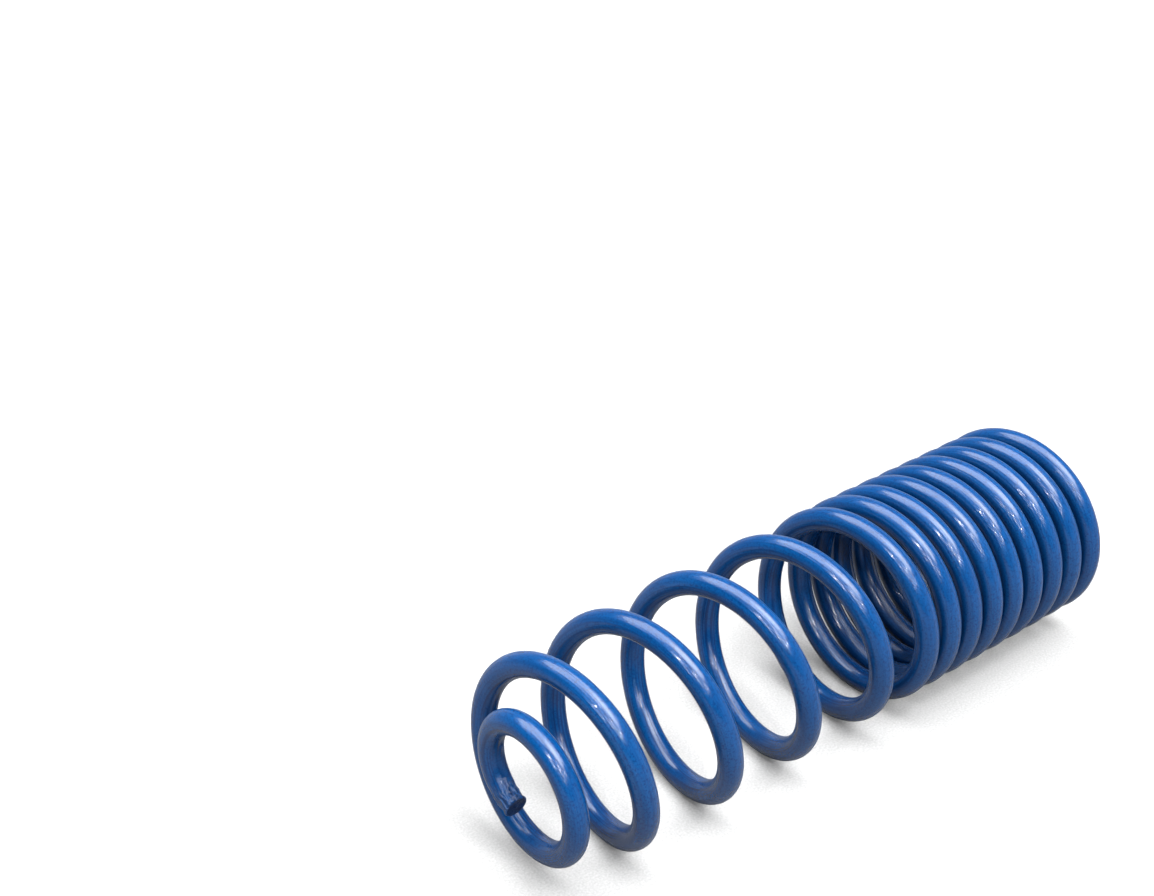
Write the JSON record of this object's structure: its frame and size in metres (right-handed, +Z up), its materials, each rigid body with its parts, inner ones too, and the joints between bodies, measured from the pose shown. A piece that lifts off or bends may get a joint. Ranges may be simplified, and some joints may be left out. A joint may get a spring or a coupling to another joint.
{
  "type": "coil spring",
  "caption": "Right-hand wound progressive suspension coil spring with a pigtail end, open coils and a close-wound end, lying on its side; it compresses along its axis.",
  "frame": {"origin": "on the floor under the middle of the spring, which lies on its side", "axes": "+X along the coil axis from the pigtail end to the close-wound end, +Z up"},
  "size_m": [0.3784, 0.1116, 0.1112],
  "materials": {
    "powder_coat": "gloss"
  },
  "bodies": {
    "pigtail_end": {"pigtail_end": "powder_coat"},
    "half_turn_01": {"half_turn_01": "powder_coat"},
    "half_turn_02": {"half_turn_02": "powder_coat"},
    "half_turn_03": {"half_turn_03": "powder_coat"},
    "half_turn_04": {"half_turn_04": "powder_coat"},
    "half_turn_05": {"half_turn_05": "powder_coat"},
    "half_turn_06": {"half_turn_06": "powder_coat"},
    "half_turn_07": {"half_turn_07": "powder_coat"},
    "half_turn_08": {"half_turn_08": "powder_coat"},
    "half_turn_09": {"half_turn_09": "powder_coat"},
    "half_turn_10": {"half_turn_10": "powder_coat"},
    "half_turn_11": {"half_turn_11": "powder_coat"},
    "half_turn_12": {"half_turn_12": "powder_coat"},
    "half_turn_13": {"half_turn_13": "powder_coat"},
    "half_turn_14": {"half_turn_14": "powder_coat"},
    "half_turn_15": {"half_turn_15": "powder_coat"},
    "half_turn_16": {"half_turn_16": "powder_coat"},
    "half_turn_17": {"half_turn_17": "powder_coat"},
    "half_turn_18": {"half_turn_18": "powder_coat"},
    "half_turn_19": {"half_turn_19": "powder_coat"},
    "half_turn_20": {"half_turn_20": "powder_coat"},
    "half_turn_21": {"half_turn_21": "powder_coat"},
    "half_turn_22": {"half_turn_22": "powder_coat"},
    "half_turn_23": {"half_turn_23": "powder_coat"},
    "half_turn_24": {"half_turn_24": "powder_coat"},
    "half_turn_25": {"half_turn_25": "powder_coat"},
    "half_turn_26": {"half_turn_26": "powder_coat"},
    "seat_end": {"seat_end": "powder_coat"}
  },
  "joints": [
    {"name": "twist_01", "type": "hinge", "parent": "half_turn_01", "child": "pigtail_end", "pos_m": [-0.18068, -0.03773, 0.05575], "axis": [0, 0, 1], "range_deg": [-3.09, 0.2]},
    {"name": "twist_02", "type": "hinge", "parent": "half_turn_02", "child": "half_turn_01", "pos_m": [-0.16963, 0.04557, 0.05575], "axis": [0, 0, 1], "range_deg": [-0.2, 10.67]},
    {"name": "twist_03", "type": "hinge", "parent": "half_turn_03", "child": "half_turn_02", "pos_m": [-0.14937, -0.04923, 0.05575], "axis": [0, 0, 1], "range_deg": [-18.12, 0.2]},
    {"name": "twist_04", "type": "hinge", "parent": "half_turn_04", "child": "half_turn_03", "pos_m": [-0.12331, 0.0495, 0.05575], "axis": [0, 0, 1], "range_deg": [-0.2, 20.91]},
    {"name": "twist_05", "type": "hinge", "parent": "half_turn_05", "child": "half_turn_04", "pos_m": [-0.09716, -0.0495, 0.05575], "axis": [0, 0, 1], "range_deg": [-20.93, 0.2]},
    {"name": "twist_06", "type": "hinge", "parent": "half_turn_06", "child": "half_turn_05", "pos_m": [-0.07101, 0.0495, 0.05575], "axis": [0, 0, 1], "range_deg": [-0.2, 20.93]},
    {"name": "twist_07", "type": "hinge", "parent": "half_turn_07", "child": "half_turn_06", "pos_m": [-0.04486, -0.0495, 0.05575], "axis": [0, 0, 1], "range_deg": [-20.93, 0.2]},
    {"name": "open_coils", "type": "hinge", "parent": "half_turn_08", "child": "half_turn_07", "pos_m": [-0.01871, 0.0495, 0.05575], "axis": [0, 0, 1], "range_deg": [0, 20.4], "stiffness_Nm_per_rad": 8210},
    {"name": "twist_09", "type": "hinge", "parent": "half_turn_09", "child": "half_turn_08", "pos_m": [0.00682, -0.0495, 0.05575], "axis": [0, 0, 1], "range_deg": [-17.44, 0.2]},
    {"name": "twist_10", "type": "hinge", "parent": "half_turn_10", "child": "half_turn_09", "pos_m": [0.02698, 0.0495, 0.05575], "axis": [0, 0, 1], "range_deg": [-0.2, 11.26]},
    {"name": "twist_11", "type": "hinge", "parent": "half_turn_11", "child": "half_turn_10", "pos_m": [0.04076, -0.0495, 0.05575], "axis": [0, 0, 1], "range_deg": [-4.06, 0.2]},
    {"name": "twist_12", "type": "hinge", "parent": "half_turn_11", "child": "half_turn_12", "pos_m": [0.04947, 0.0495, 0.05575], "axis": [0, 0, 1], "range_deg": [-1.04, 0.05]},
    {"name": "close_coils", "type": "hinge", "parent": "half_turn_12", "child": "half_turn_13", "pos_m": [0.05777, -0.0495, 0.05575], "axis": [0, 0, 1], "range_deg": [0, 1.99], "stiffness_Nm_per_rad": 18330},
    {"name": "twist_14", "type": "hinge", "parent": "half_turn_13", "child": "half_turn_14", "pos_m": [0.06607, 0.0495, 0.05575], "axis": [0, 0, 1], "range_deg": [-2.04, 0.05]},
    {"name": "twist_15", "type": "hinge", "parent": "half_turn_14", "child": "half_turn_15", "pos_m": [0.07437, -0.0495, 0.05575], "axis": [0, 0, 1], "range_deg": [-0.05, 2.04]},
    {"name": "twist_16", "type": "hinge", "parent": "half_turn_15", "child": "half_turn_16", "pos_m": [0.08267, 0.0495, 0.05575], "axis": [0, 0, 1], "range_deg": [-2.04, 0.05]},
    {"name": "twist_17", "type": "hinge", "parent": "half_turn_16", "child": "half_turn_17", "pos_m": [0.09097, -0.0495, 0.05575], "axis": [0, 0, 1], "range_deg": [-0.05, 2.04]},
    {"name": "twist_18", "type": "hinge", "parent": "half_turn_17", "child": "half_turn_18", "pos_m": [0.09927, 0.0495, 0.05575], "axis": [0, 0, 1], "range_deg": [-2.04, 0.05]},
    {"name": "twist_19", "type": "hinge", "parent": "half_turn_18", "child": "half_turn_19", "pos_m": [0.10757, -0.0495, 0.05575], "axis": [0, 0, 1], "range_deg": [-0.05, 2.04]},
    {"name": "twist_20", "type": "hinge", "parent": "half_turn_19", "child": "half_turn_20", "pos_m": [0.11587, 0.0495, 0.05575], "axis": [0, 0, 1], "range_deg": [-2.04, 0.05]},
    {"name": "twist_21", "type": "hinge", "parent": "half_turn_20", "child": "half_turn_21", "pos_m": [0.12417, -0.0495, 0.05575], "axis": [0, 0, 1], "range_deg": [-0.05, 2.04]},
    {"name": "twist_22", "type": "hinge", "parent": "half_turn_21", "child": "half_turn_22", "pos_m": [0.13247, 0.0495, 0.05575], "axis": [0, 0, 1], "range_deg": [-2.04, 0.05]},
    {"name": "twist_23", "type": "hinge", "parent": "half_turn_22", "child": "half_turn_23", "pos_m": [0.14077, -0.0495, 0.05575], "axis": [0, 0, 1], "range_deg": [-0.05, 2.04]},
    {"name": "twist_24", "type": "hinge", "parent": "half_turn_23", "child": "half_turn_24", "pos_m": [0.14907, 0.0495, 0.05575], "axis": [0, 0, 1], "range_deg": [-2.04, 0.05]},
    {"name": "twist_25", "type": "hinge", "parent": "half_turn_24", "child": "half_turn_25", "pos_m": [0.15737, -0.0495, 0.05575], "axis": [0, 0, 1], "range_deg": [-0.05, 2.04]},
    {"name": "twist_26", "type": "hinge", "parent": "half_turn_25", "child": "half_turn_26", "pos_m": [0.16567, 0.0495, 0.05575], "axis": [0, 0, 1], "range_deg": [-2.04, 0.05]},
    {"name": "twist_27", "type": "hinge", "parent": "half_turn_26", "child": "seat_end", "pos_m": [0.17397, -0.0495, 0.05575], "axis": [0, 0, 1], "range_deg": [-0.05, 1.04]}
  ],
  "couplings": [
    {"joint": "twist_01", "follows": "open_coils", "ratio": -0.1417},
    {"joint": "twist_02", "follows": "open_coils", "ratio": 0.51308},
    {"joint": "twist_03", "follows": "open_coils", "ratio": -0.87847},
    {"joint": "twist_04", "follows": "open_coils", "ratio": 1.0151},
    {"joint": "twist_05", "follows": "open_coils", "ratio": -1.016},
    {"joint": "twist_06", "follows": "open_coils", "ratio": 1.016},
    {"joint": "twist_07", "follows": "open_coils", "ratio": -1.016},
    {"joint": "twist_09", "follows": "open_coils", "ratio": -0.84496},
    {"joint": "twist_10", "follows": "open_coils", "ratio": 0.54218},
    {"joint": "twist_11", "follows": "open_coils", "ratio": -0.18921},
    {"joint": "twist_12", "follows": "close_coils", "ratio": -0.5},
    {"joint": "twist_14", "follows": "close_coils", "ratio": -1},
    {"joint": "twist_15", "follows": "close_coils", "ratio": 1},
    {"joint": "twist_16", "follows": "close_coils", "ratio": -1},
    {"joint": "twist_17", "follows": "close_coils", "ratio": 1},
    {"joint": "twist_18", "follows": "close_coils", "ratio": -1},
    {"joint": "twist_19", "follows": "close_coils", "ratio": 1},
    {"joint": "twist_20", "follows": "close_coils", "ratio": -1},
    {"joint": "twist_21", "follows": "close_coils", "ratio": 1},
    {"joint": "twist_22", "follows": "close_coils", "ratio": -1},
    {"joint": "twist_23", "follows": "close_coils", "ratio": 1},
    {"joint": "twist_24", "follows": "close_coils", "ratio": -1},
    {"joint": "twist_25", "follows": "close_coils", "ratio": 1},
    {"joint": "twist_26", "follows": "close_coils", "ratio": -1},
    {"joint": "twist_27", "follows": "close_coils", "ratio": 0.5}
  ]
}
